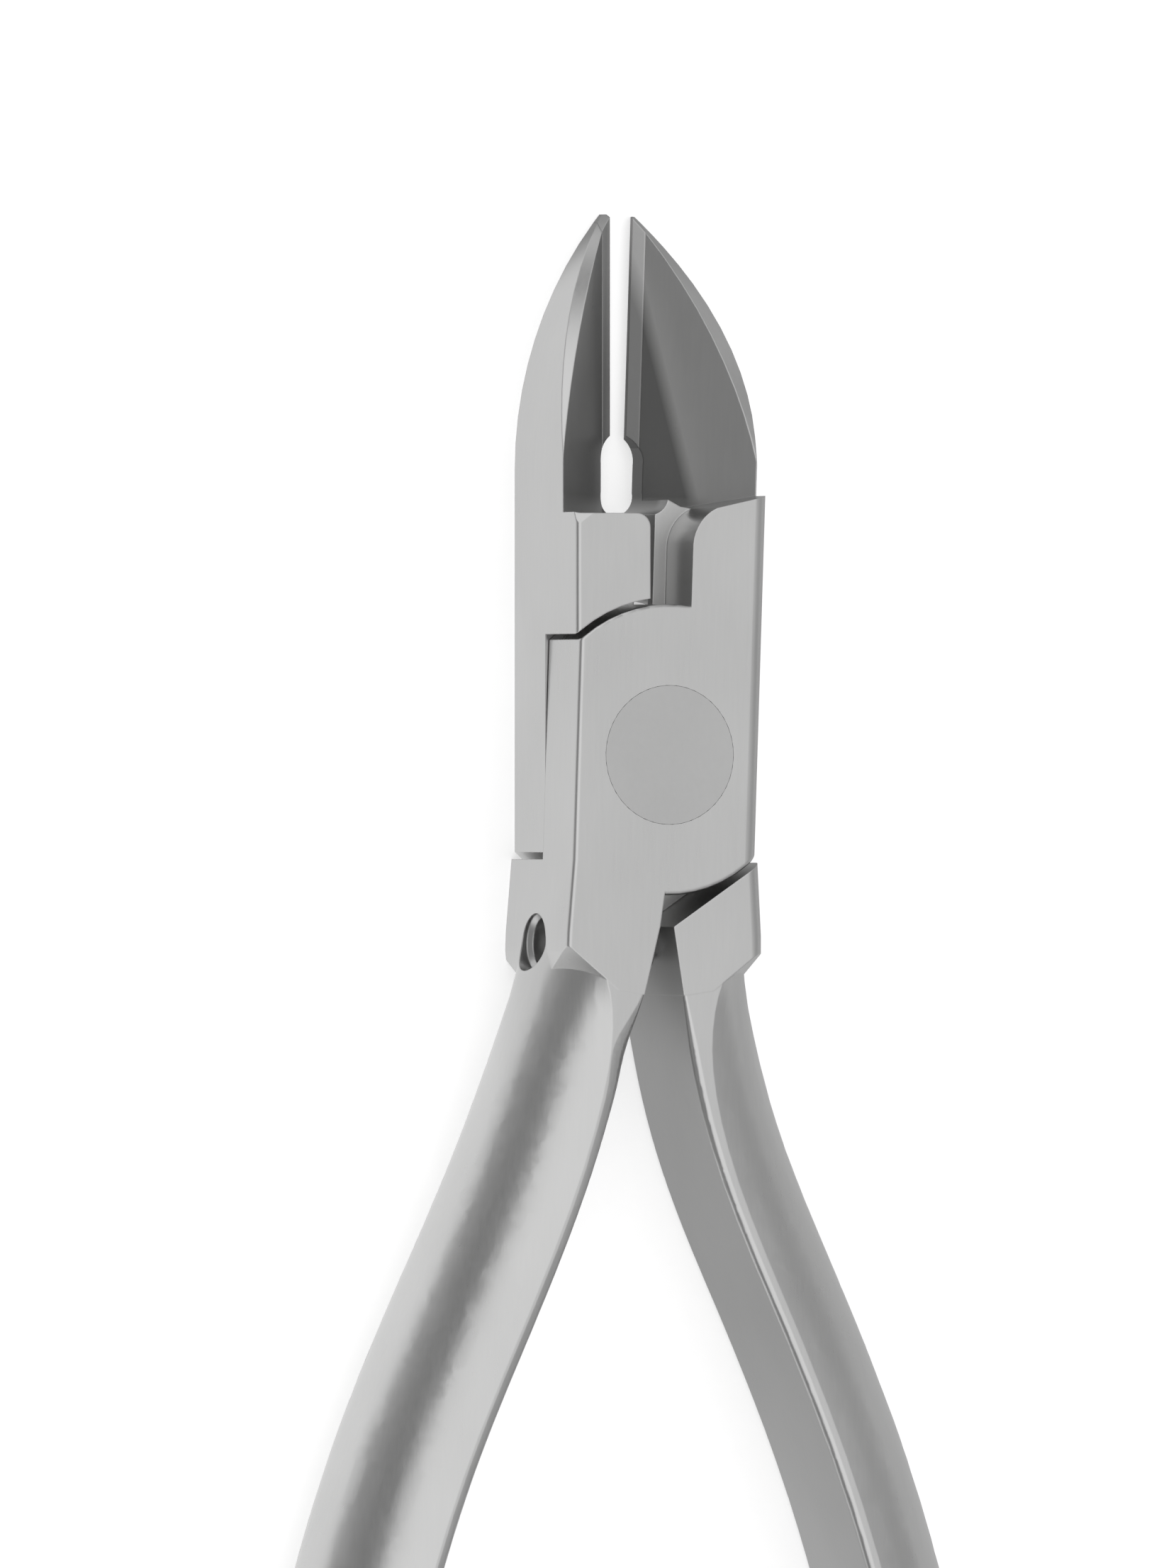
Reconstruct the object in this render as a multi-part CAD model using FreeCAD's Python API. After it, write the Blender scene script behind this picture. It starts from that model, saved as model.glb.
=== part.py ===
import FreeCAD, Part
import math
import os

# Small lap-joint side cutters, all steel, lying on their back.
# +Z leaves the front face, +Y points to the tips, the origin is the pivot axis on the back plane.
# Each half is drawn closed with its jaw on +X and its handle on -X, then mirrored or turned into place.

V = FreeCAD.Vector
AXIS_Z = V(0, 0, 1)

# Whole tool (mm, degrees)
THICK = 8.2
HALF_WIDTH = 5.3
REST_OPENING = 1.9
OVERCUT = 1.0
MID = THICK / 2

# Edge rounding
WIDE_ROUND = 0.8
EDGE_ROUND = 0.25
FINE_ROUND = 0.15

# Lap joint
LAP_GAP = 0.08
LAP_TOP_RADIUS = 7.9
LAP_LOW_RADIUS = 7.35
CLEAR_RADIUS = 8.25

# Jaws
FRONT_JAW_ARC = {"radius": 16.0, "start_y": 16.9}
REAR_JAW_ARC = {"radius": 21.1, "start_y": 15.0}
TIP_WIDTH = 0.45
EDGE_X = 0.17
EDGE_Z = 0.75
EDGE_BACK_X = 0.40
INSERT_X = 0.80
INSERT_Z = 1.17
BEVEL_SLOPE = 1.16
NOSE_RADIUS = 13.0
NOSE_CENTRE_W = 12.27
NOSE_CENTRE_Z = -6.15
NOSE_SKEW = 35.0
NOSE_START_W = 15.6

# Relief hole behind the cutting edges
RELIEF_HALF_WIDTH = 0.95
RELIEF_TOP = 16.8
RELIEF_LOW = 12.65
BLOCK_INNER_X = 0.25

# Slots in front of the blocks that meet at the middle
FRONT_SLOT_X = 0.98
FRONT_SLOT_WALL_TOP = 10.8
FRONT_SLOT_SWEEP = [(1.35, 12.2), (2.3, 13.02)]
FRONT_SLOT_END = [(1.7, 13.1), (0, 13.9)]
FRONT_LEDGE_Z = 4.75
REAR_SLOT_X = 1.09
REAR_SLOT_CORNER = 0.75
FRONT_RAMP_START_Y = 13.3
REAR_RAMP_START_Y = 12.0

# Pivot screw
HEAD_DIA = 7.27
HEAD_THICK = 1.6
SHANK_DIA = 4.0
SHANK_CLEARANCE = 0.05
HEAD_CLEARANCE = 0.02

# Shoulder bosses and cross bore
BORE_Y = -10.0
BORE_Z = 3.8
BORE_DIA = 2.6
BORE_RIM_DIA = 3.04
BORE_RIM_DEPTH = 0.25
BOSS_X = 5.5
FRONT_FACET_TOP_Y = -10.1
BACK_FACET_TOP_Y = -10.9
FACET_DROP = 4.6
FACET_INNER = 2.3
FACET_FALL_INNER = 1.75
FACET_FALL_SIDE = 2.4
SEAT_LENGTH = 1.2
SEAT_OUTER_X = 4.3
SEAT_SOCKET_DIA = 1.1
SEAT_SOCKET_DEPTH = 0.6

# Return spring
SPRING_MEAN_RADIUS = 0.85
SPRING_WIRE_DIA = 0.36
SPRING_TURNS = 9

# Handles: a flat inner face with rounded corners, bowed out and back, and a rounded outer side
HANDLE_START_X = 0.24
HANDLE_START_Y = -9.0
FRONT_HANDLE = {
    "start_angle": 12.0, "first_straight": 5.0, "bow_out_radius": 82.0, "second_straight": 0.5,
    "front_corner": 1.0,
}
REAR_HANDLE = {
    "start_angle": 9.0, "first_straight": 6.0, "bow_out_radius": 38.0, "second_straight": 9.0,
    "front_corner": 0.35,
}
HANDLE_BOW_ANGLE = 24.0
HANDLE_END_ANGLE = -8.0
BOW_BACK_RADIUS = 90.0
HANDLE_END_Y = -100.0
WIDTH_AT_BOSS = 5.15
WIDTH_GAIN = 0.7
WIDTH_GAIN_START = 4.5
WIDTH_GAIN_LENGTH = 8.0
WIDEST_Z_AT_BOSS = 3.6
WIDEST_Z_LOW = 2.3
WIDEST_Z_SLOPE = 0.065
FLAT_LOW = 0.7
FLAT_GAIN = 3.7
FLAT_GAIN_LENGTH = 2.6
FLAT_GAIN_START = 1.2
BACK_CORNER = 0.5
CORNER_START = 3.7
CORNER_GROWTH_LENGTH = 3.0
INSET_AT_BOSS = 0.008
INSET_LOW = 0.05
INSET_START = 4.0
INSET_LENGTH = 5.0
END_CAP_LENGTH = 5.5
END_CAP_ROUND = 0.97
END_CAP_FLATNESS = 0.65


def prism(points, low, high):
    corners = [V(x, y, low) for x, y in points]
    return Part.Face(Part.makePolygon(corners + corners[:1])).extrude(V(0, 0, high - low))


def cylinder_z(radius, low, high):
    return Part.makeCylinder(radius, high - low, V(0, 0, low))


def box(x0, x1, y0, y1, z0, z1):
    return Part.makeBox(x1 - x0, y1 - y0, z1 - z0, V(x0, y0, z0))


def mirrored(shape):
    return shape.mirror(V(0, 0, 0), V(1, 0, 0))


def turned(shape, angle):
    copy = shape.copy()
    copy.rotate(V(0, 0, 0), AXIS_Z, angle)
    return copy


def edges_in(shape, z, x0, x1, y0, y1):
    """Edges longer than a sliver that lie at one height inside a rectangle."""
    tolerance, sliver = 0.02, 0.3
    chosen = []
    for edge in shape.Edges:
        bounds = edge.BoundBox
        level = abs(bounds.ZMin - z) < tolerance and abs(bounds.ZMax - z) < tolerance
        inside = bounds.XMin > x0 and bounds.XMax < x1 and bounds.YMin > y0 and bounds.YMax < y1
        if level and inside and edge.Length > sliver:
            chosen.append(edge)
    return chosen


def rounded(shape, radius, *region):
    return shape.makeFillet(radius, edges_in(shape, *region))


def jaw_blank(arc):
    """Jaw outline seen from the front, curved on its outer side, over the full thickness."""
    centre_x = HALF_WIDTH - arc["radius"]

    def arc_point(x):
        return V(x, arc["start_y"] + math.sqrt(arc["radius"]**2 - (x - centre_x)**2), -OVERCUT)

    tip = arc_point(TIP_WIDTH)
    middle = arc_point(HALF_WIDTH * 0.65)
    shoulder = V(HALF_WIDTH, arc["start_y"], -OVERCUT)
    foot = V(HALF_WIDTH, 0, -OVERCUT)
    inner_foot = V(EDGE_X, 0, -OVERCUT)
    inner_tip = V(EDGE_X, tip.y, -OVERCUT)
    outline = Part.Wire([
        Part.makeLine(inner_foot, inner_tip),
        Part.makeLine(inner_tip, tip),
        Part.Arc(tip, middle, shoulder).toShape(),
        Part.makeLine(shoulder, foot),
        Part.makeLine(foot, inner_foot),
    ])
    return Part.Face(outline).extrude(V(0, 0, THICK + 2 * OVERCUT))


def nose_tool(ramp_start_y):
    """Everything in front of the skewed, rounded nose that thins the jaw towards its tip."""
    skew = math.radians(NOSE_SKEW)
    across = V(math.sin(skew), math.cos(skew), 0)
    along = V(math.cos(skew), -math.sin(skew), 0)

    def point(w, z):
        return across * w + V(0, 0, z)

    def on_nose(w):
        return point(w, NOSE_CENTRE_Z + math.sqrt(NOSE_RADIUS**2 - (w - NOSE_CENTRE_W)**2))

    ramp_w = HALF_WIDTH * math.sin(skew) + ramp_start_y * math.cos(skew)
    last_w = NOSE_CENTRE_W + NOSE_RADIUS * 0.95
    far_w = last_w + 10
    top_z = THICK + 3
    ramp = point(ramp_w, THICK)
    first, last = on_nose(NOSE_START_W), on_nose(last_w)
    profile = Part.Wire([
        Part.makeLine(point(ramp_w, top_z), ramp),
        Part.makeLine(ramp, first),
        Part.Arc(first, on_nose((NOSE_START_W + last_w) / 2), last).toShape(),
        Part.makeLine(last, point(far_w, last.z)),
        Part.makeLine(point(far_w, last.z), point(far_w, top_z)),
        Part.makeLine(point(far_w, top_z), point(ramp_w, top_z)),
    ])
    face = Part.Face(profile)
    face.translate(along * -40)
    return face.extrude(along * 80)


def bevel_tool(lower_edge):
    """Everything in front of the cutting bevel, above the lower edge given as (x, y) points."""
    far_x = HALF_WIDTH + 3
    section = [
        V(-3, 0, EDGE_Z),
        V(EDGE_X, 0, EDGE_Z),
        V(INSERT_X, 0, INSERT_Z),
        V(far_x, 0, INSERT_Z + BEVEL_SLOPE * (far_x - INSERT_X)),
        V(far_x, 0, THICK + 5),
        V(-3, 0, THICK + 5),
    ]
    wedge = Part.Face(Part.makePolygon(section + section[:1])).extrude(V(0, 40, 0))
    region = prism([(-4, 40), *lower_edge, (far_x + 1, 40)], -5, THICK + 8)
    return wedge.common(region)


def edge_back_tool():
    """Small bevel on the back of the cutting edge."""
    below = 2
    low_x = EDGE_BACK_X + below * (EDGE_BACK_X - EDGE_X) / EDGE_Z
    section = [V(-1, 0, -below), V(low_x, 0, -below), V(EDGE_X, 0, EDGE_Z), V(-1, 0, EDGE_Z)]
    return Part.Face(Part.makePolygon(section + section[:1])).extrude(V(0, 40, 0))


def relief_tool():
    """Half of the teardrop hole between the cutting edges and the joint."""
    under, inner_x = -2, -2
    low = V(BLOCK_INNER_X, RELIEF_LOW, under)
    low_mid = V(RELIEF_HALF_WIDTH * 0.8, RELIEF_LOW + 0.35, under)
    wall_low = V(RELIEF_HALF_WIDTH, RELIEF_LOW + 1.2, under)
    wall_high = V(RELIEF_HALF_WIDTH, RELIEF_TOP - 1.5, under)
    high_mid = V(RELIEF_HALF_WIDTH * 0.75, RELIEF_TOP - 0.5, under)
    high = V(EDGE_X, RELIEF_TOP, under)
    outline = Part.Wire([
        Part.Arc(low, low_mid, wall_low).toShape(),
        Part.makeLine(wall_low, wall_high),
        Part.Arc(wall_high, high_mid, high).toShape(),
        Part.makeLine(high, V(inner_x, RELIEF_TOP, under)),
        Part.makeLine(V(inner_x, RELIEF_TOP, under), V(inner_x, RELIEF_LOW, under)),
        Part.makeLine(V(inner_x, RELIEF_LOW, under), low),
    ])
    return Part.Face(outline).extrude(V(0, 0, THICK + 4))


def slot_prism(foot, start, turn, end, rest):
    """Slot open on its inner side: a straight wall, an arc at its top, then the other points."""
    far_x = -3
    corners = [end, *rest, V(far_x, rest[-1].y, foot.z), V(far_x, 0, foot.z), foot, start]
    sides = [Part.makeLine(a, b) for a, b in zip(corners, corners[1:])]
    outline = Part.Wire([Part.Arc(start, turn, end).toShape(), *sides])
    return Part.Face(outline).extrude(V(0, 0, THICK))


def sculpted_notch():
    """Clearance slot in the front of the front half, its wall sweeping out over the shoulder."""
    low = FRONT_LEDGE_Z
    foot, start = V(FRONT_SLOT_X, 0, low), V(FRONT_SLOT_X, FRONT_SLOT_WALL_TOP, low)
    turn, sweep = (V(x, y, low) for x, y in FRONT_SLOT_SWEEP)
    end, inner_end = (V(x, y, low) for x, y in FRONT_SLOT_END)
    return slot_prism(foot, start, turn, sweep, [end, inner_end])


def plain_notch():
    """Clearance slot in the front of the rear half, with a rounded top corner."""
    corner = REAR_SLOT_CORNER
    cut_back = corner * (1 - math.sqrt(0.5))
    foot, start = V(REAR_SLOT_X, 0, MID), V(REAR_SLOT_X, RELIEF_LOW - corner, MID)
    turn = V(REAR_SLOT_X + cut_back, RELIEF_LOW - cut_back, MID)
    end = V(REAR_SLOT_X + corner, RELIEF_LOW, MID)
    return slot_prism(foot, start, turn, end, [V(end.x, RELIEF_LOW + 2, MID)])


def ramp(value, start, length):
    """0 before start, rising to 1 over a length."""
    return min(max((value - start) / length, 0.0), 1.0)


def inner_path(handle):
    """Inner edge line of a +X handle as (x, y, angle, length) samples, angle measured from -Y."""
    samples = []
    x, y, length = HANDLE_START_X, HANDLE_START_Y, 0.0
    angle = math.radians(handle["start_angle"])
    bow, end = math.radians(HANDLE_BOW_ANGLE), math.radians(HANDLE_END_ANGLE)
    bow_out_end = handle["first_straight"] + handle["bow_out_radius"] * (bow - angle)
    bow_back_start = bow_out_end + handle["second_straight"]
    bow_back_end = bow_back_start + BOW_BACK_RADIUS * (bow - end)
    step = 0.1
    while y > HANDLE_END_Y:
        samples.append((x, y, angle, length))
        if handle["first_straight"] < length < bow_out_end:
            angle += step / handle["bow_out_radius"]
        if bow_back_start < length < bow_back_end:
            angle -= step / BOW_BACK_RADIUS
        x += step * math.sin(angle)
        y -= step * math.cos(angle)
        length += step
    return samples


def handle_section(x, y, angle, length, total, corner_radius):
    """Section wire across the handle: flat inside, rounded corners, one smooth curve round the outer side."""
    past_boss = max(length - WIDTH_GAIN_START, 0)
    width = WIDTH_AT_BOSS + WIDTH_GAIN * (1 - math.exp(-past_boss / WIDTH_GAIN_LENGTH))
    widest_z = max(WIDEST_Z_LOW, WIDEST_Z_AT_BOSS - WIDEST_Z_SLOPE * length)
    flat = FLAT_LOW + FLAT_GAIN * math.exp(-max(length - FLAT_GAIN_START, 0) / FLAT_GAIN_LENGTH)
    corner = FINE_ROUND + (corner_radius - FINE_ROUND) * ramp(length, CORNER_START, CORNER_GROWTH_LENGTH)
    front_corner = min(corner, flat - FINE_ROUND)
    back_corner = min(front_corner, BACK_CORNER)
    inset = INSET_AT_BOSS + (INSET_LOW - INSET_AT_BOSS) * ramp(length, INSET_START, INSET_LENGTH)
    into_cap = END_CAP_ROUND * ramp(length, total - END_CAP_LENGTH, END_CAP_LENGTH)
    shrink = math.sqrt(1 - into_cap**2)
    outward = V(math.cos(angle), math.sin(angle), 0)

    def point(across, up):
        from_middle = (across - width / 2) * shrink
        level = (up - MID) * (1 - inset / MID) * (1 - END_CAP_FLATNESS * (1 - shrink))
        return V(x, y, MID + level) + outward * (width / 2 + from_middle + inset)

    def smooth_curve(points):
        spline = Part.BSplineCurve()
        spline.interpolate(points)
        return spline.toShape()

    def outer_quarter(height):
        """From the flat's outer end down to the widest point."""
        rise = height / math.sqrt(1 - (flat / width)**2)
        first = math.acos(flat / width)
        turns = [first * (8 - i) / 8 for i in range(9)]
        return [point(width * math.cos(t), widest_z + rise * math.sin(t)) for t in turns]

    def corner_curve(radius, level, facing):
        turns = [math.pi / 2 * i / 4 for i in range(5)]
        inset_to = [(radius * (1 - math.cos(t)), radius * (1 - math.sin(t))) for t in turns]
        return [point(across, level - facing * up) for across, up in inset_to]

    outer = outer_quarter(THICK - widest_z) + outer_quarter(-widest_z)[-2::-1]
    front = corner_curve(front_corner, THICK, 1)
    back = corner_curve(back_corner, 0, -1)[::-1]
    return Part.Wire([
        Part.makeLine(back[-1], front[0]),
        smooth_curve(front),
        Part.makeLine(front[-1], outer[0]),
        smooth_curve(outer),
        Part.makeLine(outer[-1], back[0]),
        smooth_curve(back),
    ])


def boss_facet(face_z, facing, top_y):
    """Wedge that takes the outer corner off the foot of a +X boss, on the front or the back."""
    corner = V(BOSS_X, top_y, face_z)
    inner = V(BOSS_X - FACET_INNER, top_y - FACET_FALL_INNER, face_z)
    side = V(BOSS_X, top_y - FACET_FALL_SIDE, face_z - facing * FACET_DROP)
    normal = (inner - corner).cross(side - corner).normalize()
    if normal.dot(V(0, -1, 0)) < 0:
        normal = -normal
    plane = Part.makePlane(40, 40)
    plane.translate(V(-20, -20, 0))
    plane.Placement = FreeCAD.Placement(corner, FreeCAD.Rotation(AXIS_Z, normal)).multiply(plane.Placement)
    return plane.extrude(normal * 20)


def handle_and_boss(handle):
    """A +X handle with its shoulder boss, over the full thickness."""
    path = inner_path(handle)
    total = path[-1][3]
    cap_start = total - END_CAP_LENGTH
    bar_start = 13.0
    stations = [1.6, 2.6, 3.7, 5.0, 6.7, 8.5, 10.5, bar_start]
    stations += [bar_start + (cap_start - bar_start) * i / 9 for i in range(1, 10)]
    stations += [cap_start + END_CAP_LENGTH * math.sin(math.pi / 2 * i / 5) for i in range(1, 6)]
    samples = [path[min(round(s * 10), len(path) - 1)] for s in stations]
    bar = Part.makeLoft([handle_section(*p, total, handle["front_corner"]) for p in samples], True, False)
    foot_drop = 3.6
    foot_x = HANDLE_START_X + foot_drop * math.tan(math.radians(handle["start_angle"]))
    boss = prism([
        (HALF_WIDTH, -5.65), (HANDLE_START_X, HANDLE_START_Y), (foot_x, HANDLE_START_Y - foot_drop),
        (5.3, -12.0), (BOSS_X, -10.45), (BOSS_X, -9.5),
    ], 0, THICK)
    boss = boss.cut([boss_facet(THICK, 1, FRONT_FACET_TOP_Y), boss_facet(0, -1, BACK_FACET_TOP_Y)])
    return bar.fuse(boss)


def boss_bore():
    """Cross bore through a +X boss, opening to a slightly wider mouth."""
    bore = Part.makeCylinder(BORE_DIA / 2, 12, V(-1, BORE_Y, BORE_Z), V(1, 0, 0))
    rim_x = BOSS_X - BORE_RIM_DEPTH
    rim_start = V(rim_x - BORE_RIM_DEPTH, BORE_Y, BORE_Z)
    rim = Part.makeCone(BORE_DIA / 2, BORE_RIM_DIA / 2, BORE_RIM_DEPTH, rim_start, V(1, 0, 0))
    mouth = Part.makeCylinder(BORE_RIM_DIA / 2, 5, V(rim_x, BORE_Y, BORE_Z), V(1, 0, 0))
    return bore.fuse([rim, mouth])


def lap_plate(low, high):
    """Half-thickness plate round the pivot, with room for the other half's blocks."""
    upper = cylinder_z(LAP_TOP_RADIUS, low, high).common(box(-HALF_WIDTH, HALF_WIDTH, 0, 9, low, high))
    lower = cylinder_z(LAP_LOW_RADIUS, low, high).common(box(-HALF_WIDTH, HALF_WIDTH, -9, 0, low, high))
    neck = prism([
        (-HALF_WIDTH, 0), (0, 0), (0, -7), (-HANDLE_START_X, -9.05), (-3, -10), (-BOSS_X, -9.5),
        (-HALF_WIDTH, -5.65),
    ], low, high)
    return upper.fuse([lower, neck])


def half_tool(lap_in_front):
    """One half, closed, with its jaw on +X and its handle on -X."""
    if lap_in_front:
        lap_low, lap_high = MID + LAP_GAP / 2, THICK + OVERCUT
        other_low, other_high = -2 * OVERCUT, MID + LAP_GAP / 2
        notch, ramp_start, arc, handle = sculpted_notch(), FRONT_RAMP_START_Y, FRONT_JAW_ARC, FRONT_HANDLE
        slot_end, inner_end = FRONT_SLOT_END
        shoulder_line = [FRONT_SLOT_SWEEP[-1], (4.4, 13.55), (9.3, 14.8)]
        bevel_foot = [(-4, inner_end[1]), inner_end, slot_end, *shoulder_line]
    else:
        lap_low, lap_high = -OVERCUT, MID - LAP_GAP / 2
        other_low, other_high = MID - LAP_GAP / 2, THICK + 2 * OVERCUT
        notch, ramp_start, arc, handle = plain_notch(), REAR_RAMP_START_Y, REAR_JAW_ARC, REAR_HANDLE
        bevel_foot = [(-4, RELIEF_LOW), (5.0, RELIEF_LOW), (9.3, 13.4)]

    jaw = jaw_blank(arc).cut(box(-1, BLOCK_INNER_X, -1, RELIEF_LOW, -3, THICK + 3))
    jaw = jaw.cut([notch, relief_tool(), cylinder_z(CLEAR_RADIUS, other_low, other_high)])
    back_bevel = edge_back_tool()
    back_bevel.translate(V(0, RELIEF_TOP - 0.5, 0))
    jaw = jaw.cut([bevel_tool(bevel_foot), nose_tool(ramp_start), back_bevel])

    if lap_in_front:
        link = box(1.0, HALF_WIDTH, 0, 9, lap_low, lap_high)
    else:
        link = box(BLOCK_INNER_X, HALF_WIDTH, 0, 9, lap_low, lap_high)

    body = jaw.fuse([lap_plate(lap_low, lap_high), link, mirrored(handle_and_boss(handle))])
    body = body.common(box(-60, 60, -120, 40, 0, THICK))
    body = body.cut(mirrored(boss_bore())).removeSplitter()
    if lap_in_front:
        body = rounded(body, WIDE_ROUND, THICK, 5.2, 5.4, -5.2, 13.4)
        body = rounded(body, EDGE_ROUND, THICK, -5.6, -5.2, -10.2, 6)
        body = rounded(body, FINE_ROUND, THICK, -5.4, 1.1, 5.7, 8.0)
        return rounded(body, EDGE_ROUND, THICK, -0.3, 5.4, -7.5, -4.4)
    body = rounded(body, EDGE_ROUND, THICK, 5.2, 5.4, 5, 28)
    return rounded(body, WIDE_ROUND, THICK, -5.6, -5.2, -10.2, -5)


def insert_region():
    """Space taken by the hard strip along the cutting edge."""
    return box(-1, INSERT_X, RELIEF_TOP - 0.6, 40, -1, THICK)


def pivot_screw():
    shank = cylinder_z(SHANK_DIA / 2, 0, THICK - HEAD_THICK)
    head = cylinder_z(HEAD_DIA / 2, THICK - HEAD_THICK, THICK)
    return shank.fuse(head).removeSplitter()


def spring_seat():
    """Short plug screw with a round socket, in the outer end of a +X bore."""
    inner_x = SEAT_OUTER_X - SEAT_LENGTH
    plug = Part.makeCylinder(BORE_DIA / 2, SEAT_LENGTH, V(inner_x, BORE_Y, BORE_Z), V(1, 0, 0))
    socket = Part.makeCylinder(SEAT_SOCKET_DIA / 2, SEAT_SOCKET_DEPTH,
                               V(SEAT_OUTER_X - SEAT_SOCKET_DEPTH, BORE_Y, BORE_Z), V(1, 0, 0))
    return plug.cut(socket)


def return_spring():
    """Small coil spring that reaches through both inner faces between the two plugs."""
    reach = SEAT_OUTER_X - SEAT_LENGTH - SPRING_WIRE_DIA / 2 - 0.03
    pitch = 2 * reach / SPRING_TURNS
    helix = Part.makeHelix(pitch, 2 * reach, SPRING_MEAN_RADIUS)
    ring = Part.makeCircle(SPRING_WIRE_DIA / 2, V(SPRING_MEAN_RADIUS, 0, 0), V(0, 1, 0))
    coil = Part.Wire(helix.Edges).makePipeShell([Part.Wire(ring)], True, True)
    coil.rotate(V(0, 0, 0), V(0, 1, 0), 90)
    coil.translate(V(-reach, BORE_Y, BORE_Z))
    return coil


def main():
    os.makedirs("parts", exist_ok=True)
    half_turn = REST_OPENING / 2

    front = half_tool(True)
    head_room = cylinder_z(HEAD_DIA / 2 + HEAD_CLEARANCE, THICK - HEAD_THICK - SHANK_CLEARANCE, THICK + 1)
    shank_room = cylinder_z(SHANK_DIA / 2 + SHANK_CLEARANCE, -1, THICK + 1)
    front = front.cut([head_room, shank_room])
    rear = half_tool(False).cut(cylinder_z(SHANK_DIA / 2, -1, THICK + 1))

    region = insert_region()
    nodes = {
        "front_half": turned(front.cut(region), -half_turn),
        "right_cutting_insert": turned(front.common(region), -half_turn),
        "rear_half": turned(mirrored(rear.cut(region)), half_turn),
        "left_cutting_insert": turned(mirrored(rear.common(region)), half_turn),
        "pivot_screw": pivot_screw(),
        "left_spring_seat": turned(mirrored(spring_seat()), -half_turn),
        "right_spring_seat": turned(spring_seat(), half_turn),
        "return_spring": return_spring(),
    }
    for name, shape in nodes.items():
        solid = shape.Solids[0] if len(shape.Solids) == 1 else shape
        solid.exportStep(f"parts/{name}.step")
        print(name, len(shape.Solids), shape.isValid(), round(shape.Volume, 2), shape.BoundBox)


main()
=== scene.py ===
import math

import bmesh
import bpy
from mathutils import Matrix, Vector


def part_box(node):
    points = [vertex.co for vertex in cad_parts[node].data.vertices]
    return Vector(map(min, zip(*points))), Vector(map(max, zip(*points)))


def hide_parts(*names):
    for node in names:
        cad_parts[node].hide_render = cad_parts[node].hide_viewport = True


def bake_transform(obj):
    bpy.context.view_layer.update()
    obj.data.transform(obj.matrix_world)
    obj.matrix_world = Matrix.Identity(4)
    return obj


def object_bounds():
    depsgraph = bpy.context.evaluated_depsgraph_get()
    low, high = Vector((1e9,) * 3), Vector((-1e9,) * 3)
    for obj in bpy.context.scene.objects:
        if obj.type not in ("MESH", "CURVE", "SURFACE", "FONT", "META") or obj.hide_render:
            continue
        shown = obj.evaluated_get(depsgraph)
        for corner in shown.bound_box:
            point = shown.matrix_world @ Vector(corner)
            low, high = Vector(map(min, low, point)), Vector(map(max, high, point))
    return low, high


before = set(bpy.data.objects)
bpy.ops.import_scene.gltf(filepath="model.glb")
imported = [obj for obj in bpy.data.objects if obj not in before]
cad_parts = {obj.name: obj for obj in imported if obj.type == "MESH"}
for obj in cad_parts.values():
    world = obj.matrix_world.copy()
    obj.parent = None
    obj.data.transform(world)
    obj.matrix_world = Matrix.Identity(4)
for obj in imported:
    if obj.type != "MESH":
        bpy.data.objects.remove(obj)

# Looks for the sprue nippers: satin steel carried over from the CAD nodes, a bent return spring,
# a pale floor and a studio surround. Metres, in the CAD frame.

MM = 0.001
cad_low, cad_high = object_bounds()

# Camera: above the front face, leaning towards the left jaw's side
CAMERA_LEAN = math.radians(23.5)
CAMERA_ROLL = math.radians(0.95)
CAMERA_DISTANCE = 1.2
VIEW_HEIGHT = 81.93 * MM
AIM = Vector((-4.64 * MM, -1.60 * MM, cad_high.z))
SENSOR = 36.0

# Painted shade in hollows: how far an opposite wall darkens a hollow, and how dark the deepest one gets
HOLLOW_REACH = 4.0 * MM
HOLLOW_DARK = 0.84

# Shade painted on the two bevels of the V between the jaws
JAW_V_START = 12.8 * MM
JAW_V_FULL = 13.6 * MM
RIGHT_BEVEL_X = (0.3 * MM, 0.5 * MM)
LEFT_BEVEL_X = (-0.9 * MM, -0.6 * MM)
BEVEL_FACING = (0.4, 0.6)
RIGHT_SHADE_AT_PIVOT = 6.75 * MM
RIGHT_SHADE_SLOPE = -0.235
SHADE_SOFTNESS = 0.3 * MM
RIGHT_BEVEL_DARK = 0.38
LEFT_BEVEL_DARK = 0.62

# Noise cells per metre along X, Y and Z
CLOUD_CELLS = (160.0, 110.0, 160.0)
SPECK_CELLS = (2600.0, 2600.0, 2600.0)
LENGTHWISE_GRAIN = (5200.0, 420.0, 5200.0)
CROSSWISE_GRAIN = (700.0, 6000.0, 6000.0)
TURNED_GRAIN = (2400.0, 2400.0, 5200.0)
EVEN_GRAIN = (3000.0, 3000.0, 3000.0)
WIRE_MARKS = (900.0, 5200.0, 5200.0)
PAPER_FIBRE = (700.0, 700.0, 700.0)

# Light of the surround by height over the tool, as (degrees from the left, light)
TENT_BANDS = [(0, 0.32), (8, 0.34), (20, 0.27), (34, 0.24), (44, 0.30), (56, 1.05), (98, 1.05),
              (114, 0.84), (128, 0.56), (142, 0.47), (158, 0.42), (180, 0.52)]

# Light of the floor card across the tool, as (mm along X, light), and its gain beside the handles
CARD_BANDS = [(-60, 0.33), (-38, 0.33), (-36, 0.86), (-3.5, 0.86), (-2, 0.38), (6, 0.40),
              (12, 0.5), (60, 0.5)]
CARD_GAIN = 1.18
CARD_GAIN_Y = (-15 * MM, -10 * MM)
PAPER_GLOW = 0.52

# Softened edges, left out inside a circle just wider than the screw head
EDGE_RADIUS = 0.10 * MM
screw_low, screw_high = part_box("pivot_screw")
seam_radius = 1.04 * (screw_high.x - screw_low.x) / 2
seam_end = 1.02 * seam_radius

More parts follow.
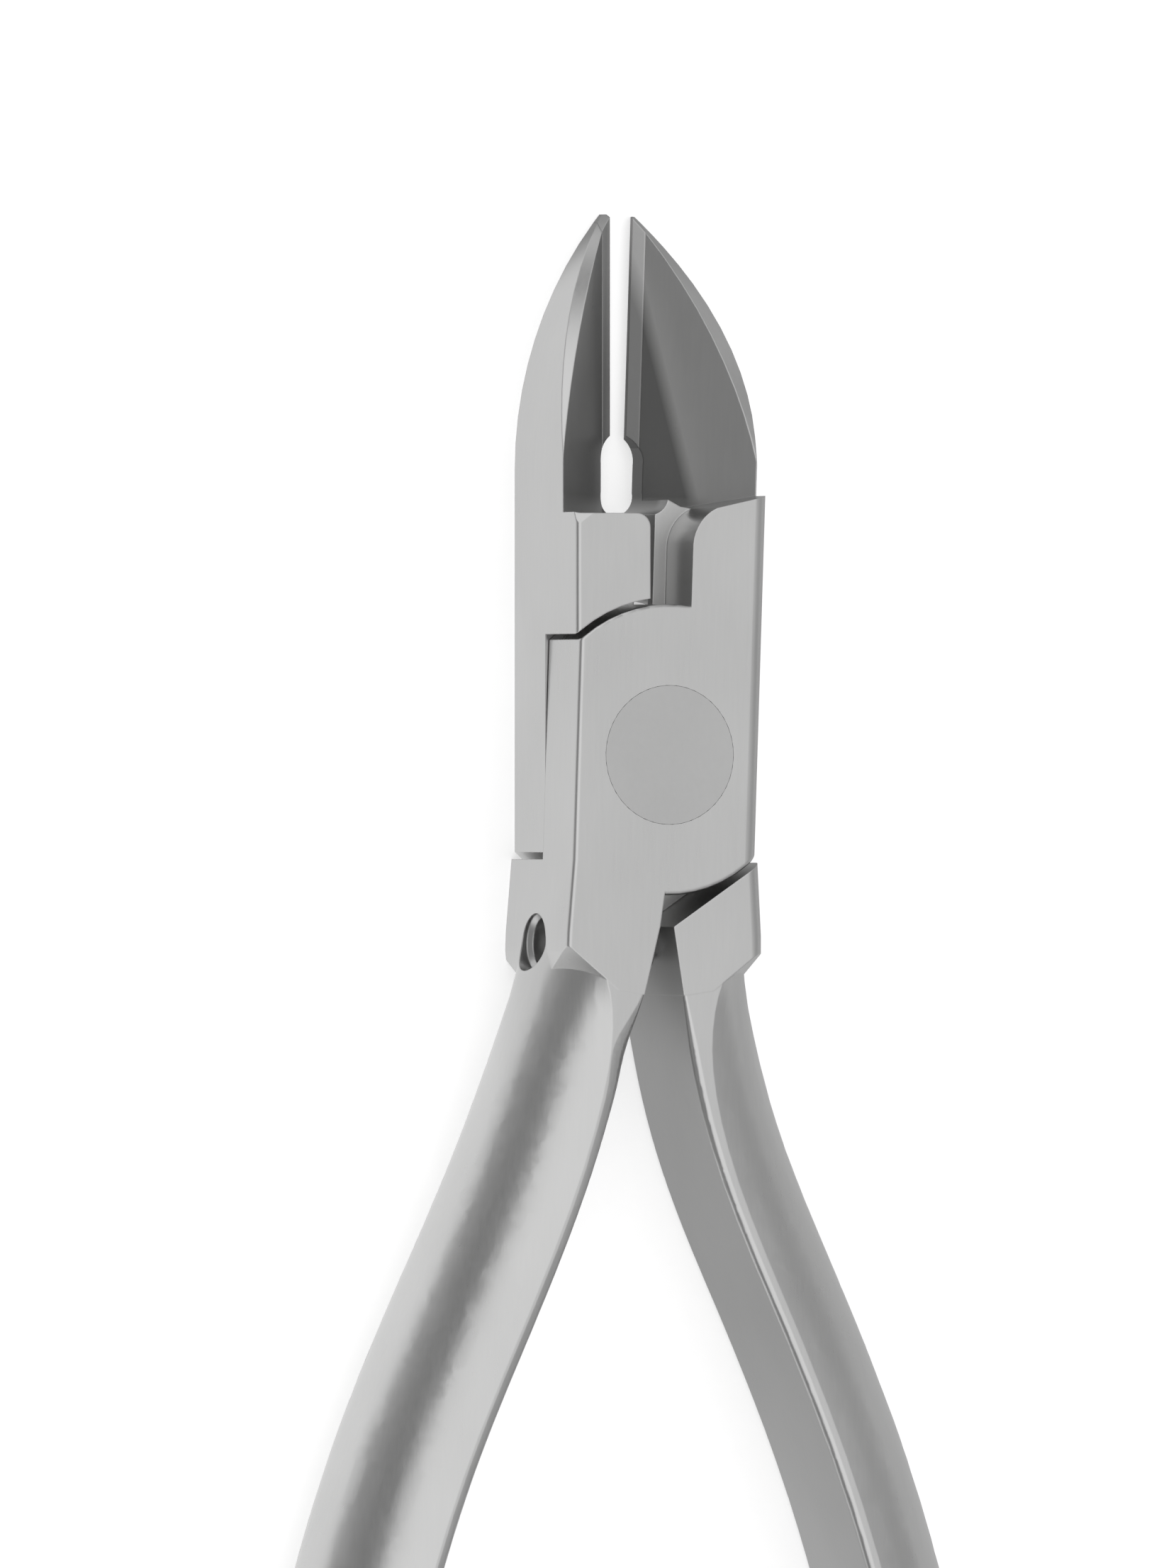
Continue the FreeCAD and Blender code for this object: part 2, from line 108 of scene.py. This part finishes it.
# Return spring, between the two seats
SPRING_WIRE_RADIUS = 0.17 * MM
SPRING_COIL_RADIUS = 0.83 * MM
SPRING_TURNS = 9
SPRING_CLOSED_TURNS = 1.0
CLOSED_COIL_SLACK = 1.06
STEPS_PER_TURN = 28
WIRE_SIDES = 10


# ---------------------------------------------------------------- node helpers

def new_material(name):
    material = bpy.data.materials.new(name)
    material.use_nodes = True
    tree = material.node_tree
    shader = next(n for n in tree.nodes if n.type == "BSDF_PRINCIPLED")
    return material, tree, shader


def add(tree, kind, **settings):
    """A new node, with inputs named in settings given their values."""
    node = tree.nodes.new(kind)
    for key, value in settings.items():
        if hasattr(node, key):
            setattr(node, key, value)
        else:
            node.inputs[key.replace("_", " ")].default_value = value
    return node


def noise(tree, coords, scale, detail=3.0):
    """Noise stretched by a scale vector, in object coordinates."""
    mapping = add(tree, "ShaderNodeMapping", Scale=scale)
    tree.links.new(coords, mapping.inputs["Vector"])
    texture = add(tree, "ShaderNodeTexNoise", Scale=1.0, Detail=detail, Roughness=0.6)
    tree.links.new(mapping.outputs["Vector"], texture.inputs["Vector"])
    return texture.outputs["Fac"]


def remap(tree, value, low, high, start=0.3, end=0.7):
    node = add(tree, "ShaderNodeMapRange", From_Min=start, From_Max=end, To_Min=low, To_Max=high)
    tree.links.new(value, node.inputs["Value"])
    return node.outputs["Result"]


def combine(tree, operation, first, *numbers):
    """A maths node on one value and either numbers or further node outputs."""
    node = add(tree, "ShaderNodeMath", operation=operation)
    tree.links.new(first, node.inputs[0])
    for socket, number in zip(node.inputs[1:], numbers):
        if isinstance(number, float):
            socket.default_value = number
        else:
            tree.links.new(number, socket)
    return node.outputs["Value"]


def multiply(tree, first, second):
    return combine(tree, "MULTIPLY", first, second)


def fade_in(tree, share, value):
    """1 where the share is 0, and the value where the share is 1."""
    node = add(tree, "ShaderNodeMix", data_type="FLOAT")
    tree.links.new(share, node.inputs[0])
    node.inputs[2].default_value = 1.0
    tree.links.new(value, node.inputs[3])
    return node.outputs[0]


# ---------------------------------------------------------------- materials

def hollow_shade(tree, coords, facing):
    """Painted shade: a faint darkening of every hollow, times a shade painted on the two bevels between
    the jaws.
    """
    # Painted shade: colour darkened where an opposite wall stands within reach
    hollow = add(tree, "ShaderNodeAmbientOcclusion", Distance=HOLLOW_REACH)
    hollow.samples = 8
    hollow_painted_shade = remap(tree, hollow.outputs["AO"], HOLLOW_DARK, 1.0, start=0.30, end=0.80)
    place = add(tree, "ShaderNodeSeparateXYZ")
    tree.links.new(coords, place.inputs["Vector"])
    normal = add(tree, "ShaderNodeSeparateXYZ")
    tree.links.new(facing, normal.inputs["Vector"])
    in_jaws = remap(tree, place.outputs["Y"], 0.0, 1.0, start=JAW_V_START, end=JAW_V_FULL)

    # Painted shade on the right bevel, dark below a line that climbs from the tip to the notch
    slope = combine(tree, "MULTIPLY_ADD", place.outputs["Y"], RIGHT_SHADE_SLOPE, RIGHT_SHADE_AT_PIVOT)
    depth = combine(tree, "SUBTRACT", place.outputs["Z"], slope)
    right = remap(tree, depth, RIGHT_BEVEL_DARK, 1.0, start=-SHADE_SOFTNESS, end=SHADE_SOFTNESS)
    slanted, clearly_slanted = BEVEL_FACING
    faces_left = remap(tree, normal.outputs["X"], 1.0, 0.0, start=-clearly_slanted, end=-slanted)
    on_right = remap(tree, place.outputs["X"], 0.0, 1.0, *RIGHT_BEVEL_X)
    right_share = multiply(tree, multiply(tree, in_jaws, faces_left), on_right)
    right_shade = fade_in(tree, right_share, right)

    # Painted shade on the left bevel, evenly dark
    faces_right = remap(tree, normal.outputs["X"], 0.0, 1.0, start=slanted, end=clearly_slanted)
    on_left = remap(tree, place.outputs["X"], 1.0, 0.0, *LEFT_BEVEL_X)
    left_share = multiply(tree, multiply(tree, in_jaws, faces_right), on_left)
    left_shade = remap(tree, left_share, 1.0, LEFT_BEVEL_DARK, start=0.0, end=1.0)
    return multiply(tree, hollow_painted_shade, multiply(tree, right_shade, left_shade))


def edge_radius(tree, coords):
    """Width of the softened edges: none at the seam round the flush screw head."""
    level = add(tree, "ShaderNodeVectorMath", operation="MULTIPLY")
    tree.links.new(coords, level.inputs[0])
    level.inputs[1].default_value = (1, 1, 0)
    from_pivot = add(tree, "ShaderNodeVectorMath", operation="LENGTH")
    tree.links.new(level.outputs["Vector"], from_pivot.inputs[0])
    return remap(tree, from_pivot.outputs["Value"], 0.0, EDGE_RADIUS, start=seam_radius, end=seam_end)


def brushed_steel(name, tint, grey, roughness, grain, grain_depth, mottle=0.03):
    """Satin steel: fine grain along one direction, faint cloudiness, and painted shade darkening deep
    corners.
    """
    material, tree, shader = new_material(name)
    texture_coords = tree.nodes.new("ShaderNodeTexCoord")
    coords = texture_coords.outputs["Object"]
    fine = noise(tree, coords, grain, detail=4.0)
    cloud = noise(tree, coords, CLOUD_CELLS, detail=2.0)
    speck = noise(tree, coords, SPECK_CELLS, detail=1.0)

    shade = multiply(tree, remap(tree, cloud, grey * (1 - mottle), grey * (1 + mottle)),
                     remap(tree, fine, 0.985, 1.015))
    # Painted shade in hollows and on the jaw bevels darkens the colour
    shade = multiply(tree, shade, hollow_shade(tree, coords, texture_coords.outputs["Normal"]))
    colour = add(tree, "ShaderNodeMix", data_type="RGBA", blend_type="MULTIPLY")
    colour.inputs[0].default_value = 1.0
    colour.inputs[7].default_value = (*tint, 1)
    tree.links.new(shade, colour.inputs[6])
    tree.links.new(colour.outputs[2], shader.inputs["Base Color"])

    rough = multiply(tree, remap(tree, fine, roughness * 0.93, roughness * 1.07),
                     remap(tree, cloud, 0.95, 1.05))
    tree.links.new(rough, shader.inputs["Roughness"])

    soft_edge = tree.nodes.new("ShaderNodeBevel")
    soft_edge.samples = 6
    tree.links.new(edge_radius(tree, coords), soft_edge.inputs["Radius"])
    bump = add(tree, "ShaderNodeBump", Strength=grain_depth, Distance=0.02 * MM)
    tree.links.new(multiply(tree, fine, remap(tree, speck, 0.8, 1.2)), bump.inputs["Height"])
    tree.links.new(soft_edge.outputs["Normal"], bump.inputs["Normal"])
    tree.links.new(bump.outputs["Normal"], shader.inputs["Normal"])
    shader.inputs["Metallic"].default_value = 1.0
    return material


def spring_steel():
    """Bright drawn wire with faint lengthwise marks."""
    material, tree, shader = new_material("spring_wire_steel")
    coords = tree.nodes.new("ShaderNodeTexCoord").outputs["Object"]
    marks = noise(tree, coords, WIRE_MARKS)
    tree.links.new(remap(tree, marks, 0.20, 0.34), shader.inputs["Roughness"])
    bump = add(tree, "ShaderNodeBump", Strength=0.15, Distance=0.01 * MM)
    tree.links.new(marks, bump.inputs["Height"])
    tree.links.new(bump.outputs["Normal"], shader.inputs["Normal"])
    tree.links.new(remap(tree, marks, 0.50, 0.60), shader.inputs["Base Color"])
    shader.inputs["Metallic"].default_value = 1.0
    return material


def floor_paper():
    """Matt white paper that also glows a little, as under a light tent."""
    material, tree, shader = new_material("studio_paper")
    coords = tree.nodes.new("ShaderNodeTexCoord").outputs["Object"]
    fibre = noise(tree, coords, PAPER_FIBRE)
    tree.links.new(remap(tree, fibre, 0.80, 0.82), shader.inputs["Base Color"])
    shader.inputs["Roughness"].default_value = 0.9
    shader.inputs["Specular IOR Level"].default_value = 0.1
    shader.inputs["Emission Color"].default_value = (1, 1, 1, 1)
    shader.inputs["Emission Strength"].default_value = PAPER_GLOW
    return material


def dress(name, material):
    """Gives a CAD node one material on every face."""
    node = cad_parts[name]
    node.data.materials.clear()
    node.data.materials.append(material)


# ---------------------------------------------------------------- return spring

def spring_mesh():
    """Coil along X between the two seats, its end turns closed up."""
    low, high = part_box("return_spring")
    centre = (low + high) / 2
    reach = high.x - centre.x - SPRING_WIRE_RADIUS
    total = int(SPRING_TURNS * STEPS_PER_TURN)
    closed = SPRING_CLOSED_TURNS / SPRING_TURNS
    closed_travel = 2 * SPRING_WIRE_RADIUS * SPRING_CLOSED_TURNS * CLOSED_COIL_SLACK

    def along(share):
        """Distance from the left end at a share of the wire's turns."""
        if share < closed:
            return closed_travel * share / closed
        if share > 1 - closed:
            return 2 * reach - closed_travel * (1 - share) / closed
        middle = (share - closed) / (1 - 2 * closed)
        return closed_travel + (2 * reach - 2 * closed_travel) * middle

    def wire_point(share):
        turn = 2 * math.pi * SPRING_TURNS * share
        return centre + Vector((along(share) - reach, SPRING_COIL_RADIUS * math.cos(turn),
                                SPRING_COIL_RADIUS * math.sin(turn)))

    mesh = bmesh.new()
    rings = []
    for i in range(total + 1):
        here = wire_point(i / total)
        ahead = wire_point(min(i + 1, total) / total) - wire_point(max(i - 1, 0) / total)
        outward = Vector((0, here.y - centre.y, here.z - centre.z)).normalized()
        side = ahead.normalized().cross(outward).normalized()
        ring = []
        for j in range(WIRE_SIDES):
            angle = 2 * math.pi * j / WIRE_SIDES
            offset = (outward * math.cos(angle) + side * math.sin(angle)) * SPRING_WIRE_RADIUS
            ring.append(mesh.verts.new(here + offset))
        rings.append(ring)
    for first, second in zip(rings, rings[1:]):
        for j in range(WIRE_SIDES):
            k = (j + 1) % WIRE_SIDES
            mesh.faces.new((first[j], first[k], second[k], second[j]))
    mesh.faces.new(rings[0][::-1])
    mesh.faces.new(rings[-1])
    bmesh.ops.recalc_face_normals(mesh, faces=mesh.faces)
    data = bpy.data.meshes.new("return_spring_coil")
    mesh.to_mesh(data)
    mesh.free()
    for face in data.polygons:
        face.use_smooth = True
    return data


def make_spring():
    coil = bpy.data.objects.new("return_spring_coil", spring_mesh())
    bpy.context.scene.collection.objects.link(coil)
    coil.data.materials.append(spring_steel())
    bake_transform(coil)
    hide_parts("return_spring")
    return coil


# ---------------------------------------------------------------- studio

def make_camera():
    data = bpy.data.cameras.new("camera")
    data.sensor_width = SENSOR
    data.lens = SENSOR * CAMERA_DISTANCE / VIEW_HEIGHT
    data.clip_start, data.clip_end = 0.05, 50.0
    camera = bpy.data.objects.new("camera", data)
    bpy.context.scene.collection.objects.link(camera)
    lean = Matrix.Rotation(-CAMERA_LEAN, 4, "Y")
    roll = Matrix.Rotation(CAMERA_ROLL, 4, "Z")
    turn = roll @ lean
    camera.matrix_world = Matrix.Translation(AIM + turn @ Vector((0, 0, CAMERA_DISTANCE))) @ turn
    bpy.context.scene.camera = camera


def make_floor():
    mesh = bmesh.new()
    bmesh.ops.create_circle(mesh, cap_ends=True, segments=96, radius=4.0)
    data = bpy.data.meshes.new("floor")
    mesh.to_mesh(data)
    mesh.free()
    floor = bpy.data.objects.new("floor", data)
    bpy.context.scene.collection.objects.link(floor)
    floor.location.z = cad_low.z - 0.02 * MM
    floor.visible_shadow = False
    data.materials.append(floor_paper())


def light_ramp(tree, value, bands, low, high):
    """Brightness read from (place, light) bands between a low and a high value."""
    share = add(tree, "ShaderNodeMapRange", From_Min=low, From_Max=high, To_Min=0.0, To_Max=1.0)
    tree.links.new(value, share.inputs["Value"])
    ramp = tree.nodes.new("ShaderNodeValToRGB")
    tree.links.new(share.outputs["Result"], ramp.inputs["Fac"])
    first, last = bands[0][0], bands[-1][0]
    ramp.color_ramp.elements[0].position = 0.0
    ramp.color_ramp.elements[1].position = 1.0
    for place, _ in bands[1:-1]:
        ramp.color_ramp.elements.new((place - first) / (last - first))
    for element, (_, light) in zip(ramp.color_ramp.elements, bands):
        element.color = (light, light, light, 1)
    return ramp.outputs["Color"]


def make_floor_cards():
    """White and grey cards round the tool that only show in its polished sides."""
    mesh = bmesh.new()
    bmesh.ops.create_grid(mesh, x_segments=1, y_segments=1, size=0.3)
    data = bpy.data.meshes.new("floor_cards")
    mesh.to_mesh(data)
    mesh.free()
    cards = bpy.data.objects.new("floor_cards", data)
    bpy.context.scene.collection.objects.link(cards)
    cards.location.z = cad_low.z - 0.01 * MM
    for ray in ("camera", "diffuse", "transmission", "volume_scatter", "shadow"):
        setattr(cards, "visible_" + ray, False)
    material = bpy.data.materials.new("floor_cards")
    material.use_nodes = True
    tree = material.node_tree
    tree.nodes.clear()
    coords = tree.nodes.new("ShaderNodeTexCoord").outputs["Object"]
    parts = add(tree, "ShaderNodeSeparateXYZ")
    tree.links.new(coords, parts.inputs["Vector"])
    left, right = CARD_BANDS[0][0] * MM, CARD_BANDS[-1][0] * MM
    light = light_ramp(tree, parts.outputs["X"], CARD_BANDS, left, right)
    glow = tree.nodes.new("ShaderNodeEmission")
    tree.links.new(light, glow.inputs["Color"])
    beside_handles = remap(tree, parts.outputs["Y"], CARD_GAIN, 1.0, *CARD_GAIN_Y)
    tree.links.new(beside_handles, glow.inputs["Strength"])
    surface = tree.nodes.new("ShaderNodeOutputMaterial")
    tree.links.new(glow.outputs["Emission"], surface.inputs["Surface"])
    data.materials.append(material)


def make_surround():
    """Light tent seen as bands by height over the tool: dark card low left, bright top, dimmer right."""
    world = bpy.data.worlds.new("tent")
    bpy.context.scene.world = world
    world.use_nodes = True
    tree = world.node_tree
    background = next(n for n in tree.nodes if n.type == "BACKGROUND")
    coords = tree.nodes.new("ShaderNodeTexCoord").outputs["Generated"]
    parts = add(tree, "ShaderNodeSeparateXYZ")
    tree.links.new(coords, parts.inputs["Vector"])
    flipped = add(tree, "ShaderNodeMath", operation="MULTIPLY")
    flipped.inputs[1].default_value = -1.0
    tree.links.new(parts.outputs["X"], flipped.inputs[0])
    angle = add(tree, "ShaderNodeMath", operation="ARCTAN2")
    tree.links.new(parts.outputs["Z"], angle.inputs[0])
    tree.links.new(flipped.outputs["Value"], angle.inputs[1])
    light = light_ramp(tree, angle.outputs["Value"], TENT_BANDS, 0.0, math.pi)
    above = add(tree, "ShaderNodeMath", operation="GREATER_THAN")
    above.inputs[1].default_value = 0.0
    tree.links.new(parts.outputs["Z"], above.inputs[0])
    lit = add(tree, "ShaderNodeMix", data_type="RGBA")
    tree.links.new(above.outputs["Value"], lit.inputs[0])
    lit.inputs[6].default_value = (0, 0, 0, 1)
    tree.links.new(light, lit.inputs[7])
    path = tree.nodes.new("ShaderNodeLightPath")
    seen = add(tree, "ShaderNodeMix", data_type="RGBA")
    tree.links.new(path.outputs["Is Camera Ray"], seen.inputs[0])
    tree.links.new(lit.outputs[2], seen.inputs[6])
    seen.inputs[7].default_value = (1, 1, 1, 1)
    tree.links.new(seen.outputs[2], background.inputs["Color"])
    background.inputs["Strength"].default_value = 1.0


# ---------------------------------------------------------------- assembly


WARM_GREY = (1.0, 1.0, 0.995)
half_steel = brushed_steel("satin_steel", WARM_GREY, 0.60, 0.30, LENGTHWISE_GRAIN, 0.10)
insert_steel = brushed_steel("ground_edge_steel", WARM_GREY, 0.56, 0.48, CROSSWISE_GRAIN, 0.12)
screw_steel = brushed_steel("screw_face_steel", WARM_GREY, 0.54, 0.33, TURNED_GRAIN, 0.12)
seat_steel = brushed_steel("seat_steel", WARM_GREY, 0.40, 0.38, EVEN_GRAIN, 0.15)

for node_name in ("front_half", "rear_half"):
    dress(node_name, half_steel)
for node_name in ("left_cutting_insert", "right_cutting_insert"):
    dress(node_name, insert_steel)
for node_name in ("left_spring_seat", "right_spring_seat"):
    dress(node_name, seat_steel)
dress("pivot_screw", screw_steel)
make_spring()

make_camera()
make_floor()
make_floor_cards()
make_surround()
bpy.context.scene.view_settings.view_transform = "Standard"
